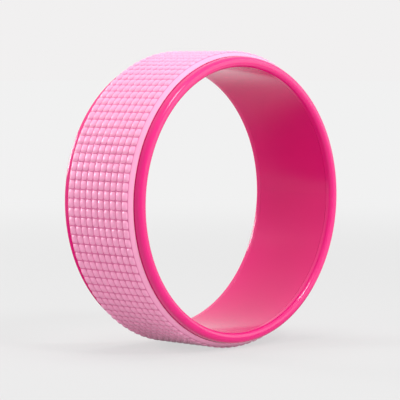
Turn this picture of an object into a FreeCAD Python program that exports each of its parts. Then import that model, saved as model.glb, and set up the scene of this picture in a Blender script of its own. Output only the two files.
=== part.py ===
import FreeCAD, Part
import math
import os
import Sketcher

# A yoga wheel: a hollow double-walled plastic hoop, closed at both ends by a
# rounded rim, with a bumpy soft tread wrapped and bonded round the outside.
# Millimetres. The origin is the wheel's centre, +Y runs along its axis and +Z is up.

doc = FreeCAD.newDocument("yoga_wheel")

# Driving dimensions, one named cell of the sheet each
driving_sizes = {
    "bore_diameter": 294.5,
    "wheel_width": 121.5,
    "inner_hoop_wall": 3.0,
    "wall_cavity": 5.5,
    "outer_hoop_wall": 3.0,
    "rib_thickness": 2.5,
    "rim_depth": 9.25,
    "tongue_length": 8.0,
    "joint_clearance": 0.15,
    "film_thickness": 0.3,
    "film_margin": 2.0,
    "tread_edge_gap": 0.4,
    "tread_edge_height": 0.6,
    "tread_base": 3.95,
    "shoulder_width": 4.1,
    "bump_height": 2.0,
    "seam_gap": 0.4,
    "rib_count": 18,
    "nose_facets": 2,
    "bump_rows": 102,
    "bump_columns": 10,
    "seam_row": 17,
    "nose_round_share": 0.43,
}

sizes = doc.addObject("Spreadsheet::Sheet", "sizes")
for row, (alias, amount) in enumerate(driving_sizes.items(), start=1):
    sizes.set(f"A{row}", alias)
    sizes.set(f"B{row}", str(amount))
    sizes.setAlias(f"B{row}", alias)
doc.recompute()

# Radii as expressions over the sheet, from the bore outwards
bore_radius = "(sizes.bore_diameter / 2)"
inner_wall_radius = f"({bore_radius} + sizes.inner_hoop_wall)"
cavity_radius = f"({inner_wall_radius} + sizes.wall_cavity)"
rim_radius = f"({cavity_radius} + sizes.outer_hoop_wall)"
tread_radius = f"({rim_radius} + sizes.film_thickness)"
valley_radius = f"({tread_radius} + sizes.tread_base)"
bump_radius = f"({valley_radius} + sizes.bump_height)"

# Half widths, from the wheel's end inwards
half_width = "(sizes.wheel_width / 2)"
hoop_half = f"({half_width} - sizes.rim_depth)"
tread_half = f"({hoop_half} - sizes.tread_edge_gap)"
field_half = f"({tread_half} - sizes.shoulder_width)"


def value(expression):
    return sizes.evalExpression(expression)


def origin_feature(body, role):
    return next(item for item in body.Origin.OriginFeatures if item.Role == role)


def new_body(label):
    body = doc.addObject("PartDesign::Body", label)
    body.Label = label
    return body


def new_sketch(body, name, role):
    sketch = body.newObject("Sketcher::SketchObject", name)
    sketch.AttachmentSupport = [(origin_feature(body, role), "")]
    sketch.MapMode = "FlatFace"
    return sketch


def draw_loop(sketch, corners):
    """Closed loop of lines through corners given as pairs of expressions."""
    places = []
    for across, along in corners:
        places.append(FreeCAD.Vector(value(across), value(along), 0))
    count = len(places)
    for index in range(count):
        sketch.addGeometry(Part.LineSegment(places[index], places[(index + 1) % count]), False)
    for index in range(count):
        sketch.addConstraint(Sketcher.Constraint("Coincident", index, 2, (index + 1) % count, 1))
    return places


def fix_corner(sketch, index, place, corner):
    """Tie one corner of a loop to the sheet, measured from the sketch's origin."""
    for kind, distance, expression in zip(("DistanceX", "DistanceY"), place, corner):
        number = sketch.addConstraint(Sketcher.Constraint(kind, -1, 1, index, 1, distance))
        sketch.setExpression(f"Constraints[{number}]", expression)


def outline(body, name, role, corners):
    sketch = new_sketch(body, name, role)
    places = draw_loop(sketch, corners)
    for index, corner in enumerate(corners):
        fix_corner(sketch, index, places[index], corner)
    return sketch


def mirrored_outline(body, name, role, half):
    """Outline that is the same on both sides of the sketch's X axis; half lists one side."""
    other_half = [(across, f"-{along}") for across, along in reversed(half)]
    sketch = new_sketch(body, name, role)
    places = draw_loop(sketch, half + other_half)
    last = len(places) - 1
    for index, corner in enumerate(half):
        fix_corner(sketch, index, places[index], corner)
        sketch.addConstraint(Sketcher.Constraint("Symmetric", index, 1, last - index, 1, -1))
    return sketch


def revolve(body, name, sketch):
    """Full turn about the wheel's axis."""
    feature = body.newObject("PartDesign::Revolution", name)
    feature.Profile = sketch
    feature.ReferenceAxis = (sketch, ["V_Axis"])
    feature.Angle = 360
    return feature


def extrude(body, name, sketch, length):
    """Straight along the wheel's axis, as far on both sides of the middle."""
    feature = body.newObject("PartDesign::Pad", name)
    feature.Profile = sketch
    feature.Type = "Length"
    feature.Midplane = True
    feature.setExpression("Length", length)
    return feature


def repeat_around(body, name, feature, count):
    pattern = body.newObject("PartDesign::PolarPattern", name)
    pattern.Originals = [feature]
    pattern.Axis = (origin_feature(body, "Y_Axis"), [""])
    pattern.Angle = 360
    pattern.setExpression("Occurrences", count)
    body.Tip = pattern
    return pattern


def ring_body(label, half_section):
    """Ring turned from a section that is the same on both sides of the middle."""
    body = new_body(label)
    section = mirrored_outline(body, f"{label}_section", "XY_Plane", half_section)
    revolve(body, f"{label}_turned", section)
    return body


def build_inner_hoop():
    """The wall that is seen inside the wheel, with ribs that carry the outer wall."""
    body = ring_body("inner_hoop", [(bore_radius, hoop_half), (inner_wall_radius, hoop_half)])
    rib_root = f"({bore_radius} + sizes.inner_hoop_wall / 2)"
    rib_top = f"({cavity_radius} - sizes.joint_clearance)"
    rib_half = "(sizes.rib_thickness / 2)"
    rib_length = f"2 * ({hoop_half} - sizes.tongue_length - sizes.joint_clearance)"
    section = mirrored_outline(body, "rib_section", "XZ_Plane", [(rib_root, rib_half), (rib_top, rib_half)])
    rib = extrude(body, "rib", section, rib_length)
    repeat_around(body, "ribs", rib, "sizes.rib_count")
    return body


def build_outer_hoop():
    """The sleeve over the ribs, which the tread is bonded to."""
    return ring_body("outer_hoop", [(cavity_radius, hoop_half), (rim_radius, hoop_half)])


def nose_corners(round_size):
    """The rim's rounded end, from its bore side to its tread side, as facets of two quarter rounds."""
    inner_side = []
    outer_side = []
    for step in range(int(value("sizes.nose_facets")) + 1):
        angle = f"(90 deg * {step} / sizes.nose_facets)"
        drop = f"{round_size} * (1 - sin{angle})"
        inset = f"{round_size} * (1 - cos{angle})"
        inner_side.append((f"({bore_radius} + {inset})", f"({half_width} - {drop})"))
        outer_side.insert(0, (f"({rim_radius} - {inset})", f"({half_width} - {drop})"))
    return inner_side + outer_side


def build_rim(label, turn):
    """Rounded end ring, whose tongue plugs the cavity between the two hoops."""
    body = new_body(label)
    tongue_inner = f"({inner_wall_radius} + sizes.joint_clearance)"
    tongue_outer = f"({cavity_radius} - sizes.joint_clearance)"
    tongue_end = f"({hoop_half} - sizes.tongue_length)"
    round_size = f"(sizes.nose_round_share * ({rim_radius} - {bore_radius}))"
    section = outline(body, f"{label}_section", "XY_Plane", nose_corners(round_size) + [
        (rim_radius, hoop_half),
        (tongue_outer, hoop_half),
        (tongue_outer, tongue_end),
        (tongue_inner, tongue_end),
        (tongue_inner, hoop_half),
        (bore_radius, hoop_half),
    ])
    revolve(body, f"{label}_turned", section)
    body.Placement = FreeCAD.Placement(FreeCAD.Vector(), FreeCAD.Rotation(FreeCAD.Vector(0, 0, 1), turn))
    return body


def build_tread_film():
    """Bonding film under the tread, set back from the tread's edges."""
    film_half = f"({tread_half} - sizes.film_margin)"
    return ring_body("tread_film", [(rim_radius, film_half), (tread_radius, film_half)])


def flat_face(*corners):
    return Part.Face(Part.makePolygon(corners + corners[:1]))


def build_tread():
    """Soft strip rolled into a ring: plain shoulders, rows and columns of bumps, one butt seam."""
    rows = int(value("sizes.bump_rows"))
    columns = int(value("sizes.bump_columns"))
    row_turn = 2 * math.pi / rows
    seam_turn = value("sizes.seam_gap") / value(valley_radius)
    first_turn = value("sizes.seam_row") * row_turn - math.pi / 2 + seam_turn / 2

    def place(row, radius, along):
        """A point of the rolled strip; rows are counted from the seam, halves are the bumps' tops."""
        turn = first_turn + (2 * math.pi - seam_turn) * row / rows
        return FreeCAD.Vector(radius * math.cos(turn), along, radius * math.sin(turn))

    # The strip's flat underside is tangent to the film.
    under = value(tread_radius) / math.cos(row_turn / 2)
    edge = value(f"{tread_radius} + sizes.tread_edge_height")
    valley = value(valley_radius)
    top = value(bump_radius)
    side = value(tread_half)
    field = value(field_half)
    lines = [field * (2 * column / columns - 1) for column in range(columns + 1)]
    section = [(under, -side), (edge, -side)] + [(valley, line) for line in lines] + [(edge, side), (under, side)]

    faces = [flat_face(*[place(row, *point) for point in section]) for row in (0, rows)]
    for row in range(rows):
        for (radius, along), (next_radius, next_along) in zip(section, section[1:] + section[:1]):
            corners = [place(row, radius, along), place(row, next_radius, next_along),
                       place(row + 1, next_radius, next_along), place(row + 1, radius, along)]
            if radius == next_radius == valley:
                peak = place(row + 1 / 2, top, (along + next_along) / 2)
                faces += [flat_face(start, end, peak) for start, end in zip(corners, corners[1:] + corners[:1])]
            else:
                faces.append(flat_face(*corners))
    shell = Part.makeShell(faces)
    shell.sewShape()
    solid = Part.makeSolid(shell)
    if solid.Volume < 0:
        solid.reverse()
    tread = doc.addObject("Part::Feature", "tread")
    tread.Label = "tread"
    tread.Shape = solid
    tread.Placement = FreeCAD.Placement()
    return tread


pieces = [
    build_inner_hoop(),
    build_outer_hoop(),
    build_rim("front_rim", 180),
    build_rim("rear_rim", 0),
    build_tread_film(),
    build_tread(),
]
doc.recompute()

# Every object has to be sound before any file is written.
for item in doc.Objects:
    if "Invalid" in item.State or "Error" in item.State:
        raise RuntimeError(f"{item.Label} failed to build: {item.State}")
for piece in pieces:
    if piece.Shape.isNull() or not piece.Shape.isValid() or len(piece.Shape.Solids) != 1:
        raise RuntimeError(f"{piece.Label} isn't one sound solid")

os.makedirs("parts", exist_ok=True)
for piece in pieces:
    piece.Shape.exportStep(f"parts/{piece.Label}.step")
    print(f"{piece.Label}: {piece.Shape.Volume:.0f} mm3, {len(piece.Shape.Faces)} faces")
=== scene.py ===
import math
import bpy
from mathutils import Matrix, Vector


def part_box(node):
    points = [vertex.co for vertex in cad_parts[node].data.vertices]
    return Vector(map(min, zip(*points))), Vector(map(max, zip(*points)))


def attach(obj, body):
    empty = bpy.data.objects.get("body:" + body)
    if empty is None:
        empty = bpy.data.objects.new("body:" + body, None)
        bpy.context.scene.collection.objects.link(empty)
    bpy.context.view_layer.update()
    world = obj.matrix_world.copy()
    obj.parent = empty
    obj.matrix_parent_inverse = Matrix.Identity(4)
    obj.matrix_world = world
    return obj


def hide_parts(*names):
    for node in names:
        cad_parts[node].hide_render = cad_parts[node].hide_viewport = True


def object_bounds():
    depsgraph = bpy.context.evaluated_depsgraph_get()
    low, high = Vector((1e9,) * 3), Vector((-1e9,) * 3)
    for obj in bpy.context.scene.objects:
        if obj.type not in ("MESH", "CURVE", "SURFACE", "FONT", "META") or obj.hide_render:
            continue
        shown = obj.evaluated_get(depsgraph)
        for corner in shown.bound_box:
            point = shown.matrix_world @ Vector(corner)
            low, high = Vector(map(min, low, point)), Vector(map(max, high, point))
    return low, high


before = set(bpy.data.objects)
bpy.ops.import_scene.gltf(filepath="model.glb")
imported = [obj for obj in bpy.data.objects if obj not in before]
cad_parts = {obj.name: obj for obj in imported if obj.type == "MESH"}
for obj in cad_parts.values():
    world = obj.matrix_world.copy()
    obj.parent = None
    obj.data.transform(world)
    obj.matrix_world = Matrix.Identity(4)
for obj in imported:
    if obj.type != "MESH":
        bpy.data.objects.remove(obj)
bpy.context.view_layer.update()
mm = 0.001
slack = 0.02 * mm  # places closer than this count as one
black = (0, 0, 0, 1)
white = (1, 1, 1, 1)
print("frame loaded:", sorted(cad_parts))


# Mesh helpers

def deselectAll():
    bpy.ops.object.select_all(action="DESELECT")


def editAll(selectMode="VERT"):
    bpy.ops.object.mode_set(mode="EDIT")
    bpy.ops.mesh.select_mode(type=selectMode)
    bpy.ops.mesh.select_all(action="SELECT")


def clearPicks(piece):
    bpy.ops.object.mode_set(mode="OBJECT")
    for items in (piece.data.vertices, piece.data.edges, piece.data.polygons):
        items.foreach_set("select", [False] * len(items))


def pickVerts(piece, test):
    # leaves edit mode open with just the vertices that pass the test selected
    clearPicks(piece)
    verts = piece.data.vertices
    verts.foreach_set("select", [test(vert.co) for vert in verts])
    bpy.ops.object.mode_set(mode="EDIT")
    bpy.ops.mesh.select_mode(type="VERT")


def pickEdges(piece, test):
    # the same for edges, whose two ends are tested together
    clearPicks(piece)
    verts, edges = piece.data.vertices, piece.data.edges
    ends = [[verts[index].co for index in edge.vertices] for edge in edges]
    edges.foreach_set("select", [test(first, second) for first, second in ends])
    bpy.ops.object.mode_set(mode="EDIT")
    bpy.ops.mesh.select_mode(type="EDGE")


def near(value, target):
    return abs(value - target) < slack


def applyModifiers(piece):
    for modifier in list(piece.modifiers):
        bpy.ops.object.modifier_apply(modifier=modifier.name)


def finishPiece(piece, name, material, slot, *nodes):
    piece.name = name
    piece.data.name = name
    piece.data.materials.clear()
    piece.data.materials.append(material)
    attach(piece, "root")
    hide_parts(*nodes)


# Node helpers

def feed(links, socket, value):
    # another node's output is linked to the socket, a plain value is set on it
    if isinstance(value, bpy.types.NodeSocket):
        links.new(value, socket)
    else:
        socket.default_value = value


def addMath(nodes, links, operation, *values):
    node = nodes.new("ShaderNodeMath")
    node.operation = operation
    for socket, value in zip(node.inputs, values):
        feed(links, socket, value)
    return node.outputs[0]


def addMeasure(nodes, links, operation, *vectors):
    # vector math that gives one number, such as a length
    node = nodes.new("ShaderNodeVectorMath")
    node.operation = operation
    for socket, vector in zip(node.inputs, vectors):
        feed(links, socket, vector)
    return node.outputs["Value"]


def addFade(nodes, links, value, reach, ends=(0, 1), kind="SMOOTHSTEP"):
    # runs from one end to the other while the value runs through its reach
    fade = nodes.new("ShaderNodeMapRange")
    fade.interpolation_type = kind
    fade.inputs["From Min"].default_value, fade.inputs["From Max"].default_value = reach
    fade.inputs["To Min"].default_value, fade.inputs["To Max"].default_value = ends
    links.new(value, fade.inputs["Value"])
    return fade.outputs[0]


def addMix(nodes, links, kind, factor, first, second):
    mix = nodes.new("ShaderNodeMix")
    mix.data_type = kind
    links.new(factor, mix.inputs["Factor"])
    feed(links, mix.inputs["A"], first)
    feed(links, mix.inputs["B"], second)
    return mix.outputs["Result"]


def splitVector(nodes, links, vector):
    apart = nodes.new("ShaderNodeSeparateXYZ")
    links.new(vector, apart.inputs[0])
    return apart.outputs


def newMaterial(name):
    material = bpy.data.materials.new(name)
    material.use_nodes = True
    nodes = material.node_tree.nodes
    return material, nodes, material.node_tree.links, nodes["Principled BSDF"]


def srgb(red, green, blue):
    # a screen colour from 0 to 255, by the standard curve
    def toLinear(c):
        c = c / 255
        return c / 12.92 if c <= 0.04045 else ((c + 0.055) / 1.055) ** 2.4
    return (toLinear(red), toLinear(green), toLinear(blue), 1)


# The moulded finish that all the pieces share

noiseDetail = {"cloud": 4, "grain": 2}


def mouldedSurfaceGroup():
    # soft drift of colour and roughness, and a fine moulded grain
    group = bpy.data.node_groups.new("mouldedSurface", "ShaderNodeTree")
    for way, name, kind in (("INPUT", "Color", "NodeSocketColor"),
                            ("INPUT", "Drift", "NodeSocketFloat"),
                            ("INPUT", "Drift Scale", "NodeSocketFloat"),
                            ("INPUT", "Roughness", "NodeSocketFloat"),
                            ("INPUT", "Grain Scale", "NodeSocketFloat"),
                            ("OUTPUT", "Color", "NodeSocketColor"),
                            ("OUTPUT", "Roughness", "NodeSocketFloat"),
                            ("OUTPUT", "Grain", "NodeSocketFloat")):
        group.interface.new_socket(name=name, in_out=way, socket_type=kind)
    nodes, links = group.nodes, group.links
    given = nodes.new("NodeGroupInput").outputs
    result = nodes.new("NodeGroupOutput").inputs
    coords = nodes.new("ShaderNodeTexCoord").outputs["Object"]

    def addNoise(scale, detail):
        noise = nodes.new("ShaderNodeTexNoise")
        noise.inputs["Detail"].default_value = detail
        links.new(coords, noise.inputs["Vector"])
        links.new(scale, noise.inputs["Scale"])
        return noise.outputs["Fac"]

    cloud = addNoise(given["Drift Scale"], noiseDetail["cloud"])
    centred = addMath(nodes, links, "SUBTRACT", cloud, 0.5)
    drift = addMath(nodes, links, "MULTIPLY_ADD", centred, given["Drift"], 1.0)
    tinted = nodes.new("ShaderNodeVectorMath")
    tinted.operation = "SCALE"
    links.new(given["Color"], tinted.inputs[0])
    links.new(drift, tinted.inputs["Scale"])
    links.new(tinted.outputs[0], result["Color"])
    links.new(addMath(nodes, links, "MULTIPLY", given["Roughness"], drift), result["Roughness"])
    links.new(addNoise(given["Grain Scale"], noiseDetail["grain"]), result["Grain"])
    return group


mouldedSurface = mouldedSurfaceGroup()


def addSurface(nodes, links, shader, look):
    surface = nodes.new("ShaderNodeGroup")
    surface.node_tree = mouldedSurface
    surface.inputs["Color"].default_value = look["color"]
    surface.inputs["Drift"].default_value = look["drift"]
    surface.inputs["Drift Scale"].default_value = look["driftScale"]
    surface.inputs["Roughness"].default_value = look["roughness"]
    surface.inputs["Grain Scale"].default_value = look["grainScale"]
    bump = nodes.new("ShaderNodeBump")
    bump.inputs["Strength"].default_value = look["grainStrength"]
    bump.inputs["Distance"].default_value = look["grainDepth"]
    links.new(surface.outputs["Color"], shader.inputs["Base Color"])
    links.new(surface.outputs["Roughness"], shader.inputs["Roughness"])
    links.new(surface.outputs["Grain"], bump.inputs["Height"])
    links.new(bump.outputs["Normal"], shader.inputs["Normal"])
    shader.inputs["Specular IOR Level"].default_value = look["gloss"]
    return surface


# Hoops and bonding film, which keep their CAD shape

# painted shade: the hoops are the rims' plastic, with their colour set a little darker
hoop = {
    "color": srgb(218, 13, 113), "drift": 0.10, "driftScale": 9.0, "roughness": 0.16, "gloss": 0.45,
    "grainScale": 1400.0, "grainStrength": 0.10, "grainDepth": 0.05 * mm,
}
film = {
    "color": srgb(232, 222, 212), "drift": 0.15, "driftScale": 60.0, "roughness": 0.55, "gloss": 0.4,
    "grainScale": 700.0, "grainStrength": 0.3, "grainDepth": 0.05 * mm,
}


def plainMaterial(name, look):
    material, nodes, links, shader = newMaterial(name)
    addSurface(nodes, links, shader, look)
    return material


def dressCadNodes():
    hoopPlastic = plainMaterial("hoopPlastic", hoop)
    bondingFilm = plainMaterial("bondingFilm", film)
    dress = {"inner_hoop": hoopPlastic, "outer_hoop": hoopPlastic, "tread_film": bondingFilm}
    for name, material in dress.items():
        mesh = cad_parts[name].data
        mesh.materials.clear()
        mesh.materials.append(material)
    print("hoops and film dressed")


dressCadNodes()


# Rims

# painted light: the rims are the hoops' plastic, with their colour set a little lighter
rim = {
    "boreRadius": 147.25 * mm,
    "cornerShare": 0.43,  # the nose's corner radius, as a share of the wall
    "cornerSegments": 12,
    "innerLip": 0.35 * mm,
    "outerLip": 0.9 * mm,
    "tongueLength": 8.0 * mm,
    "tongueInset": 3.15 * mm,
    "seatCuts": 2,
    "seatMargin": 1.0 * mm,
    "turns": 240,
    "mergeDistance": 0.01 * mm,
    "smoothAngle": math.radians(35),
    "color": srgb(225, 14, 120), "drift": 0.06, "driftScale": 14.0, "roughness": 0.18, "gloss": 0.45,
    "grainScale": 900.0, "grainStrength": 0.04, "grainDepth": 0.05 * mm,
    "coat": 0.3, "coatRoughness": 0.06,
}


def rimMaterial():
    material, nodes, links, shader = newMaterial("rimPlastic")
    addSurface(nodes, links, shader, rim)
    shader.inputs["Coat Weight"].default_value = rim["coat"]
    shader.inputs["Coat Roughness"].default_value = rim["coatRoughness"]
    return material


rimPlastic = rimMaterial()


def makeRim(name, node):
    low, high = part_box(node)
    side = 1 if low.y + high.y > 0 else -1
    inner, outer = rim["boreRadius"], high.x
    end = max(abs(low.y), abs(high.y))
    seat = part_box("inner_hoop")[1].y

    # the section starts as a flat plate from the seat to the end, where its two corners are rounded
    deselectAll()
    bpy.ops.mesh.primitive_plane_add(size=1, location=((inner + outer) / 2, side * (end + seat) / 2, 0))
    piece = bpy.context.object
    editAll()
    bpy.ops.transform.resize(value=(outer - inner, end - seat, 1))
    bpy.ops.object.mode_set(mode="OBJECT")
    bpy.ops.object.transform_apply(location=True, rotation=True, scale=True)
    pickVerts(piece, lambda co: near(co.y, side * end))
    bpy.ops.mesh.bevel(offset=rim["cornerShare"] * (outer - inner), segments=rim["cornerSegments"],
                       affect="VERTICES")

    # the seat is cut in three, its middle is made as wide as the tongue and drawn out,
    # and the edge that is left across the tongue's root goes
    def isTongueRoot(co):
        return near(co.y, side * seat) and inner + rim["seatMargin"] < co.x < outer - rim["seatMargin"]

    pickVerts(piece, lambda co: near(co.y, side * seat))
    bpy.ops.mesh.subdivide(number_cuts=rim["seatCuts"])
    pickVerts(piece, isTongueRoot)
    tongueShare = 1 - 2 * rim["tongueInset"] / (outer - inner)
    bpy.ops.transform.resize(value=((rim["seatCuts"] + 1) * tongueShare, 1, 1))
    bpy.ops.mesh.extrude_region_move(TRANSFORM_OT_translate={"value": (0, -side * rim["tongueLength"], 0)})
    pickVerts(piece, isTongueRoot)
    bpy.ops.mesh.delete(type="EDGE_FACE")

    # small chamfers at the hoop and at the tread, which show as fine joint lines
    for radius, lip in ((inner, rim["innerLip"]), (outer, rim["outerLip"])):
        pickVerts(piece, lambda co: near(co.y, side * seat) and near(co.x, radius))
        bpy.ops.mesh.bevel(offset=lip, segments=1, affect="VERTICES")

    # only the outline is kept, and spun round the wheel's axis
    bpy.ops.mesh.select_all(action="SELECT")
    bpy.ops.mesh.delete(type="ONLY_FACE")
    bpy.ops.mesh.select_all(action="SELECT")
    bpy.ops.mesh.spin(steps=rim["turns"], angle=2 * math.pi, center=(0, 0, 0), axis=(0, 1, 0),
                      use_auto_merge=True)
    bpy.ops.mesh.select_all(action="SELECT")
    bpy.ops.mesh.remove_doubles(threshold=rim["mergeDistance"])
    bpy.ops.mesh.normals_make_consistent(inside=False)
    bpy.ops.object.mode_set(mode="OBJECT")
    bpy.ops.object.shade_smooth_by_angle(angle=rim["smoothAngle"])
    finishPiece(piece, name, rimPlastic, "rim_plastic", node)
    print("rim made:", name, len(piece.data.polygons), "faces")


makeRim("frontRim", "front_rim")
makeRim("rearRim", "rear_rim")


# Tread: one bump is modelled, repeated into a flat strip, and the strip is rolled into a ring

tread = {
    "rows": 102,
    "columns": 10,
    "filmRadius": 159.05 * mm,
    "base": 3.95 * mm,  # thickness under the bumps
    "edgeHeight": 0.6 * mm,
    "edgeSegments": 2,
    "shoulder": 4.1 * mm,  # plain border beside the bumps
    "grooveHalf": 0.3 * mm,
    "cornerRound": 1.9 * mm,
    "cornerSegments": 2,
    "domeSteps": ((0.86, 0.9 * mm), (0.74, 0.65 * mm), (0.53, 0.35 * mm)),  # shrink and rise of each step
    "peakRise": 0.1 * mm,
    "seamGap": 0.4 * mm,
    "seamAngle": math.radians(-30),
    "smoothAngle": math.radians(50),
    "color": srgb(252, 168, 206), "drift": 0.10, "driftScale": 26.0, "roughness": 0.29, "gloss": 0.37,
    "grainScale": 1100.0, "grainStrength": 0.30, "grainDepth": 0.08 * mm,
    # painted shade: the grooves between the bumps are coloured a deeper pink than the bumps
    "grooveShadeColor": srgb(225, 113, 163),
    "grooveShadeReach": 0.7 * mm,  # how far the painted groove shade reaches up the bumps
    "shoulderBlend": (-0.4 * mm, 0.2 * mm),  # where the painted shade gives way to the shoulder's pale colour
}
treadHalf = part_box("tread")[1].y
fieldHalf = treadHalf - tread["shoulder"]
grooveRadius = tread["filmRadius"] + tread["base"]


def treadMaterial():
    # the bumps and the shoulders are pale, and the grooves between the bumps are painted a deeper pink as
    # shade
    material, nodes, links, shader = newMaterial("softTread")
    surface = addSurface(nodes, links, shader, tread)
    apart = splitVector(nodes, links, nodes.new("ShaderNodeTexCoord").outputs["Object"])
    flat = nodes.new("ShaderNodeCombineXYZ")
    links.new(apart["X"], flat.inputs["X"])
    links.new(apart["Z"], flat.inputs["Z"])
    radius = addMeasure(nodes, links, "LENGTH", flat.outputs[0])
    # the painted shade fades out from the groove floor up the bumps' lower flanks
    height = addFade(nodes, links, radius, (grooveRadius, grooveRadius + tread["grooveShadeReach"]))
    across = addMath(nodes, links, "ABSOLUTE", apart["Y"])
    blend = [fieldHalf + step for step in tread["shoulderBlend"]]
    shoulder = addFade(nodes, links, across, blend, kind="LINEAR")
    pale = addMath(nodes, links, "MAXIMUM", height, shoulder)
    color = addMix(nodes, links, "RGBA", pale, tread["grooveShadeColor"], tread["color"])
    links.new(color, surface.inputs["Color"])
    return material


def makeBump(alongPitch, acrossPitch):
    # the strip's first bump, with half a groove on each side
    deselectAll()
    middle = (alongPitch / 2, acrossPitch / 2 - fieldHalf, tread["base"])
    bpy.ops.mesh.primitive_plane_add(size=1, location=middle)
    piece = bpy.context.object
    editAll("FACE")
    bpy.ops.transform.resize(value=(alongPitch, acrossPitch, 1))
    bpy.ops.object.mode_set(mode="OBJECT")
    bpy.ops.object.transform_apply(location=True, rotation=True, scale=True)
    editAll("FACE")
    bpy.ops.mesh.inset(thickness=tread["grooveHalf"], depth=0)
    level = tread["base"]
    for step, (shrink, rise) in enumerate(tread["domeSteps"]):
        level += rise
        bpy.ops.mesh.extrude_region_move(TRANSFORM_OT_translate={"value": (0, 0, rise)})
        bpy.ops.transform.resize(value=(shrink, shrink, 1))
        if step == 0:  # the four corners are rounded once, and the later steps keep that round
            pickEdges(piece, lambda first, second: not near(first.z, second.z))
            bpy.ops.mesh.bevel(offset=tread["cornerRound"], segments=tread["cornerSegments"], affect="EDGES")
        pickVerts(piece, lambda co: near(co.z, level))
        bpy.ops.mesh.select_mode(type="FACE")
    bpy.ops.mesh.poke(offset=tread["peakRise"])
    bpy.ops.object.mode_set(mode="OBJECT")
    print("one bump made:", len(piece.data.polygons), "faces")
    return piece


def makeTread():
    acrossPitch = 2 * fieldHalf / tread["columns"]
    alongPitch = 2 * math.pi * grooveRadius / tread["rows"]
    length = alongPitch * tread["rows"]
    piece = makeBump(alongPitch, acrossPitch)
    for count, offset in ((tread["rows"], (alongPitch, 0, 0)), (tread["columns"], (0, acrossPitch, 0))):
        repeat = piece.modifiers.new("repeat", "ARRAY")
        repeat.count = count
        repeat.use_relative_offset = False
        repeat.use_constant_offset = True
        repeat.constant_offset_displace = offset
        repeat.use_merge_vertices = True
        repeat.merge_threshold = slack
    applyModifiers(piece)

    # sloped shoulders, low sides, the flat underside and two ends close the strip
    for side in (1, -1):
        pickVerts(piece, lambda co: near(co.y, side * fieldHalf) and near(co.z, tread["base"]))
        bpy.ops.mesh.extrude_region_move(TRANSFORM_OT_translate={
            "value": (0, side * tread["shoulder"], tread["edgeHeight"] - tread["base"])})
        bpy.ops.mesh.extrude_region_move(TRANSFORM_OT_translate={"value": (0, 0, -tread["edgeHeight"])})
    pickVerts(piece, lambda co: near(co.z, 0))
    bpy.ops.mesh.bridge_edge_loops()
    for end in (0, length):
        pickVerts(piece, lambda co: near(co.x, end))
        bpy.ops.mesh.edge_face_add()

    def isOuterEdge(co):
        return near(abs(co.y), treadHalf) and near(co.z, tread["edgeHeight"])

    pickEdges(piece, lambda first, second: isOuterEdge(first) and isOuterEdge(second))
    bpy.ops.mesh.bevel(offset=tread["edgeHeight"] / 2, segments=tread["edgeSegments"], affect="EDGES")
    bpy.ops.object.mode_set(mode="OBJECT")

    # roll the flat strip round the hoop, its two ends meeting at the seam
    seamTurn = tread["seamGap"] / grooveRadius
    for vert in piece.data.vertices:
        angle = tread["seamAngle"] + seamTurn / 2 + vert.co.x / length * (2 * math.pi - seamTurn)
        radius = tread["filmRadius"] + vert.co.z
        vert.co = (radius * math.cos(angle), vert.co.y, radius * math.sin(angle))
    editAll()
    bpy.ops.mesh.normals_make_consistent(inside=False)
    bpy.ops.object.mode_set(mode="OBJECT")
    bpy.ops.object.shade_smooth_by_angle(angle=tread["smoothAngle"])
    finishPiece(piece, "bumpyTread", treadMaterial(), "tread_rubber", "tread")
    print("tread made:", len(piece.data.polygons), "faces, top radius",
          round(max(math.hypot(vert.co.x, vert.co.z) for vert in piece.data.vertices) / mm, 2), "mm")


makeTread()


# Floor, sky, lamps and camera

stage = {
    "floorSize": 60.0,
    "floorRoughness": 0.9,
    "floorGloss": 0.0,
    "floorBounce": (0.55, 0.55, 0.55, 1),  # what lights the wheel from below
    "floorShown": (0.16, 0.16, 0.16, 1),
    "floorGlow": 0.60,
    "floorFade": (0.6, 2.6),
    # painted light and painted shadow, seen only in the gloss: the floor's glow rises to the right and is
    # dimmed in a long oval behind the wheel
    "paintedLightRise": (0.17, 0.37),
    "shadeCentre": (-0.14, 0.245),
    "shadeTurn": math.radians(-33.0),
    "shadeReach": (0.54, 0.115),
    "shadeFade": (0.6, 1.5),
    "shadeShare": 0.08,
    "skyColor": (1.0, 0.99, 0.99, 1),
    "skyStrength": (0.25, 0.74),  # at the horizon and overhead
    "skyBright": (0.6, 0.0, 0.8),
    "skyRise": (-0.2, 0.6),
    "mirrorEnds": (0.55, 1.0),
    "backdrop": 0.88,
}


def rayKinds(nodes, links):
    # masks for rays straight from the camera, and for those mirrored or passed on by a piece
    rays = nodes.new("ShaderNodeLightPath").outputs
    mirrored = addMath(nodes, links, "MAXIMUM", rays["Is Glossy Ray"], rays["Is Transmission Ray"])
    return rays["Is Camera Ray"], mirrored


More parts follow.
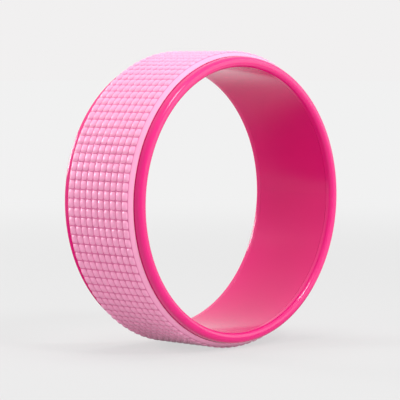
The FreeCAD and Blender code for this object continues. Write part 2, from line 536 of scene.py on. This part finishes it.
def makeFloor():
    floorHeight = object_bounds()[0].z
    deselectAll()
    bpy.ops.mesh.primitive_plane_add(size=stage["floorSize"], location=(0, 0, floorHeight))
    floor = bpy.context.object
    floor.name = "studioFloor"
    bpy.ops.object.transform_apply(location=True, rotation=True, scale=True)
    material, nodes, links, shader = newMaterial("paleFloor")
    shader.inputs["Roughness"].default_value = stage["floorRoughness"]
    shader.inputs["Specular IOR Level"].default_value = stage["floorGloss"]
    shader.inputs["Emission Color"].default_value = white
    straight, mirrored = rayKinds(nodes, links)
    coords = nodes.new("ShaderNodeTexCoord").outputs["Object"]

    # away from the wheel the floor runs out into the backdrop, so that no horizon shows
    distance = addMeasure(nodes, links, "LENGTH", coords)
    fade = addFade(nodes, links, distance, stage["floorFade"])
    pale = addMix(nodes, links, "RGBA", fade, stage["floorShown"], black)
    shown = addMix(nodes, links, "RGBA", straight, stage["floorBounce"], pale)
    links.new(addMix(nodes, links, "RGBA", mirrored, shown, black), shader.inputs["Base Color"])
    glowEnds = (stage["floorGlow"], stage["backdrop"])
    shownGlow = addFade(nodes, links, distance, stage["floorFade"], glowEnds)

    # in the gloss the floor glows with painted light, brighter to the right, and with a painted shadow in a
    # long oval behind the wheel, where the wheel would shade it
    toShade = nodes.new("ShaderNodeMapping")
    toShade.vector_type = "TEXTURE"
    toShade.inputs["Location"].default_value = (*stage["shadeCentre"], floorHeight)
    toShade.inputs["Rotation"].default_value = (0, 0, stage["shadeTurn"])
    toShade.inputs["Scale"].default_value = (*stage["shadeReach"], 1)
    links.new(coords, toShade.inputs["Vector"])
    fromShade = addMeasure(nodes, links, "LENGTH", toShade.outputs["Vector"])
    paintedShadow = addFade(nodes, links, fromShade, stage["shadeFade"], (stage["shadeShare"], 1))
    toRight = splitVector(nodes, links, coords)["X"]
    sides = addFade(nodes, links, toRight, stage["paintedLightRise"], stage["mirrorEnds"])
    mirrorGlow = addMath(nodes, links, "MULTIPLY", paintedShadow, sides)
    glow = addMath(nodes, links, "ADD", addMath(nodes, links, "MULTIPLY", straight, shownGlow),
                   addMath(nodes, links, "MULTIPLY", mirrored, mirrorGlow))
    links.new(glow, shader.inputs["Emission Strength"])
    floor.data.materials.append(material)


def makeSky():
    # brighter overhead, in the gloss also to the right; seen straight it is a plain pale backdrop
    world = bpy.data.worlds.new("studioWorld")
    world.use_nodes = True
    bpy.context.scene.world = world
    nodes, links = world.node_tree.nodes, world.node_tree.links
    background = nodes["Background"]
    background.inputs["Color"].default_value = stage["skyColor"]
    straight, mirrored = rayKinds(nodes, links)
    toSky = nodes.new("ShaderNodeTexCoord").outputs["Generated"]
    upward = splitVector(nodes, links, toSky)["Z"]
    height = addFade(nodes, links, upward, (0, 1), stage["skyStrength"], kind="LINEAR")
    shown = addMix(nodes, links, "FLOAT", straight, height, stage["backdrop"])
    toBright = addMeasure(nodes, links, "DOT_PRODUCT", toSky, stage["skyBright"])
    mirrorSky = addFade(nodes, links, toBright, stage["skyRise"], stage["mirrorEnds"])
    links.new(addMix(nodes, links, "FLOAT", mirrored, shown, mirrorSky), background.inputs["Strength"])


# the lamps that only fill the shadows are kept out of the gloss
lamps = {
    "keyLamp": {"from": (-0.1, -2.0, 2.2), "size": 0.6, "power": 27.0, "inGloss": True},
    "leftLamp": {"from": (-0.9, 2.4, 0.8), "size": 0.8, "power": 35.0, "inGloss": True},
    "sideLamp": {"from": (-2.6, -0.2, 0.1), "size": 1.4, "power": 15.0, "inGloss": False},
    "topLamp": {"from": (0.0, 0.2, 2.6), "size": 1.6, "power": 34.0, "inGloss": False},
    "frontLamp": {"from": (0.2, -2.8, 0.3), "size": 1.2, "power": 33.0, "inGloss": False},
    "rightLamp": {"from": (2.0, -2.0, 0.9), "size": 2.0, "power": 16.0, "inGloss": True},
}


def makeLamps():
    for name, lamp in lamps.items():
        data = bpy.data.lights.new(name, "AREA")
        data.energy = lamp["power"]
        data.size = lamp["size"]
        lampObject = bpy.data.objects.new(name, data)
        bpy.context.scene.collection.objects.link(lampObject)
        lampObject.location = lamp["from"]
        lampObject.visible_glossy = lamp["inGloss"]
        lampObject.rotation_euler = (-Vector(lamp["from"])).to_track_quat("-Z", "Y").to_euler()


camera = {
    "azimuth": math.radians(-45.4),
    "elevation": math.radians(3.5),
    "distance": 2.46,
    "focalPixels": 2188.6,
    "imagePixels": 400,
    "sensor": 36.0,
    "wheelPixel": (204.6, 198.0),  # the wheel's centre in the photo
}


def makeCamera():
    around, above = camera["azimuth"], camera["elevation"]
    back = Vector((math.sin(around) * math.cos(above), -math.cos(around) * math.cos(above), math.sin(above)))
    data = bpy.data.cameras.new("photoCamera")
    data.sensor_width = camera["sensor"]
    data.lens = camera["focalPixels"] / camera["imagePixels"] * camera["sensor"]
    middle = camera["imagePixels"] / 2
    data.shift_x = (middle - camera["wheelPixel"][0]) / camera["imagePixels"]
    data.shift_y = (camera["wheelPixel"][1] - middle) / camera["imagePixels"]
    photoCamera = bpy.data.objects.new("photoCamera", data)
    bpy.context.scene.collection.objects.link(photoCamera)
    photoCamera.location = back * camera["distance"]
    photoCamera.rotation_euler = (-back).to_track_quat("-Z", "Y").to_euler()
    bpy.context.scene.camera = photoCamera


makeFloor()
makeSky()
makeLamps()
makeCamera()
bpy.context.scene.view_settings.view_transform = "Standard"
print("stage, lamps and camera made")
